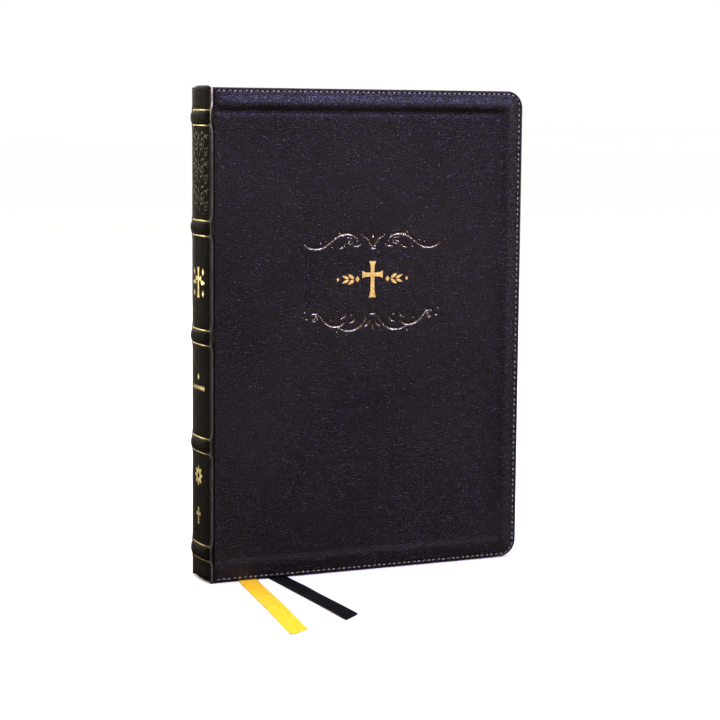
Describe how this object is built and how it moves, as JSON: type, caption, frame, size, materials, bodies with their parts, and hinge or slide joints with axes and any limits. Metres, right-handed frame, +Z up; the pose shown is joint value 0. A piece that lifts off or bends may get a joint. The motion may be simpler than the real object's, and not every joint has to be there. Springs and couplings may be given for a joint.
{
  "type": "bible",
  "caption": "Leather-bound bible standing on its tail: limp stitched covers, ribbed spine, gilt pages that open at the middle, two ribbon markers.",
  "frame": {"origin": "middle of the closed book's footprint, on the surface it stands on", "axes": "+Z up along the spine, spine towards -X, fore edge towards +X, front cover faces -Y"},
  "size_m": [0.1722, 0.1318, 0.24],
  "materials": {
    "cover_leather": "fine-grained black bonded leather, satin",
    "cover_board": "dense grey millboard",
    "cover_lining": "smooth black leather-cloth lining",
    "stitching_thread": "waxed black thread",
    "hub_strip": "leatherboard",
    "spine_card": "kraft card",
    "mull_cloth": "open mull cloth on glue",
    "band_cotton": "woven cotton bead",
    "flyleaf_paper": "black endpaper",
    "bible_paper": "thin opaque paper with gilt edges",
    "gold_satin": "yellow satin ribbon",
    "black_satin": "black satin ribbon"
  },
  "bodies": {
    "rear_pages": {"page_section_8": "bible_paper", "gold_ribbon": "gold_satin", "black_ribbon": "black_satin"},
    "section_7": {"page_section_7": "bible_paper"},
    "section_6": {"page_section_6": "bible_paper"},
    "section_5": {"page_section_5": "bible_paper"},
    "section_4": {"page_section_4": "bible_paper"},
    "section_3": {"page_section_3": "bible_paper"},
    "section_2": {"page_section_2": "bible_paper"},
    "section_1": {"page_section_1": "bible_paper"},
    "middle_leaf": {"middle_leaf": "bible_paper"},
    "front_flyleaf": {"front_flyleaf": "flyleaf_paper"},
    "back_flyleaf": {"back_flyleaf": "flyleaf_paper"},
    "spine": {"spine_leather": "cover_leather", "spine_hub_1": "hub_strip", "spine_hub_2": "hub_strip", "spine_hub_3": "hub_strip", "spine_hub_4": "hub_strip", "spine_hub_5": "hub_strip", "spine_inlay": "spine_card", "spine_lining": "mull_cloth", "head_band": "band_cotton", "tail_band": "band_cotton", "front_joint_leather": "cover_leather", "back_joint_leather": "cover_leather"},
    "front_cover": {"front_cover_leather": "cover_leather", "front_cover_board": "cover_board", "front_cover_lining": "cover_lining", "front_cover_stitching": "stitching_thread"},
    "back_cover": {"back_cover_leather": "cover_leather", "back_cover_board": "cover_board", "back_cover_lining": "cover_lining", "back_cover_stitching": "stitching_thread"},
    "gold_ribbon_tail": {"gold_ribbon_tail": "gold_satin"},
    "black_ribbon_tail": {"black_ribbon_tail": "black_satin"}
  },
  "joints": [
    {"name": "section_7_slide", "type": "slide", "parent": "rear_pages", "child": "section_7", "axis": [-1, 0, 0], "range_m": [0, 0.00451]},
    {"name": "section_6_slide", "type": "slide", "parent": "section_7", "child": "section_6", "axis": [-1, 0, 0], "range_m": [0, 0.00451]},
    {"name": "section_5_slide", "type": "slide", "parent": "section_6", "child": "section_5", "axis": [-1, 0, 0], "range_m": [0, 0.00451]},
    {"name": "book_opening", "type": "hinge", "parent": "section_5", "child": "section_4", "pos_m": [-0.0811, 0, 0], "axis": [0, 0, -1], "range_deg": [0, 180]},
    {"name": "section_3_slide", "type": "slide", "parent": "section_4", "child": "section_3", "axis": [1, 0, 0], "range_m": [0, 0.00451]},
    {"name": "section_2_slide", "type": "slide", "parent": "section_3", "child": "section_2", "axis": [1, 0, 0], "range_m": [0, 0.00451]},
    {"name": "section_1_slide", "type": "slide", "parent": "section_2", "child": "section_1", "axis": [1, 0, 0], "range_m": [0, 0.00451]},
    {"name": "middle_leaf_turn", "type": "hinge", "parent": "section_5", "child": "middle_leaf", "pos_m": [-0.0811, 0, 0], "axis": [0, 0, -1], "range_deg": [0, 90.01]},
    {"name": "spine_swing", "type": "hinge", "parent": "rear_pages", "child": "spine", "pos_m": [-0.0826, 0.012, 0], "axis": [0, 0, -1], "range_deg": [0, 90.01]},
    {"name": "front_cover_opening", "type": "hinge", "parent": "section_1", "child": "front_cover", "pos_m": [-0.0826, -0.012, 0], "axis": [0, 0, 1], "range_deg": [-180, 0]},
    {"name": "front_flyleaf_turn", "type": "hinge", "parent": "section_1", "child": "front_flyleaf", "pos_m": [-0.0811, -0.0103, 0], "axis": [0, 0, 1], "range_deg": [-99.01, 0]},
    {"name": "back_cover_opening", "type": "hinge", "parent": "rear_pages", "child": "back_cover", "pos_m": [-0.0826, 0.012, 0], "axis": [0, 0, -1], "range_deg": [-180, 0]},
    {"name": "back_flyleaf_turn", "type": "hinge", "parent": "rear_pages", "child": "back_flyleaf", "pos_m": [-0.0811, 0.0103, 0], "axis": [0, 0, -1], "range_deg": [-99.01, 0]},
    {"name": "gold_ribbon_swing", "type": "hinge", "parent": "rear_pages", "child": "gold_ribbon_tail", "pos_m": [-0.0637, -0.0116, 0], "axis": [0, 0, 1], "range_deg": [-20, 6]},
    {"name": "black_ribbon_swing", "type": "hinge", "parent": "rear_pages", "child": "black_ribbon_tail", "pos_m": [-0.0479, -0.0116, 0], "axis": [0, 0, 1], "range_deg": [-4, 20]}
  ],
  "couplings": [
    {"joint": "section_7_slide", "follows": "book_opening", "m_per_rad": 0.0014324},
    {"joint": "section_6_slide", "follows": "book_opening", "m_per_rad": 0.0014324},
    {"joint": "section_5_slide", "follows": "book_opening", "m_per_rad": 0.0014324},
    {"joint": "section_3_slide", "follows": "book_opening", "m_per_rad": 0.0014324},
    {"joint": "section_2_slide", "follows": "book_opening", "m_per_rad": 0.0014324},
    {"joint": "section_1_slide", "follows": "book_opening", "m_per_rad": 0.0014324},
    {"joint": "middle_leaf_turn", "follows": "book_opening", "ratio": 0.5},
    {"joint": "spine_swing", "follows": "book_opening", "ratio": 0.5},
    {"joint": "front_flyleaf_turn", "follows": "front_cover_opening", "ratio": 0.55},
    {"joint": "back_flyleaf_turn", "follows": "back_cover_opening", "ratio": 0.55}
  ]
}
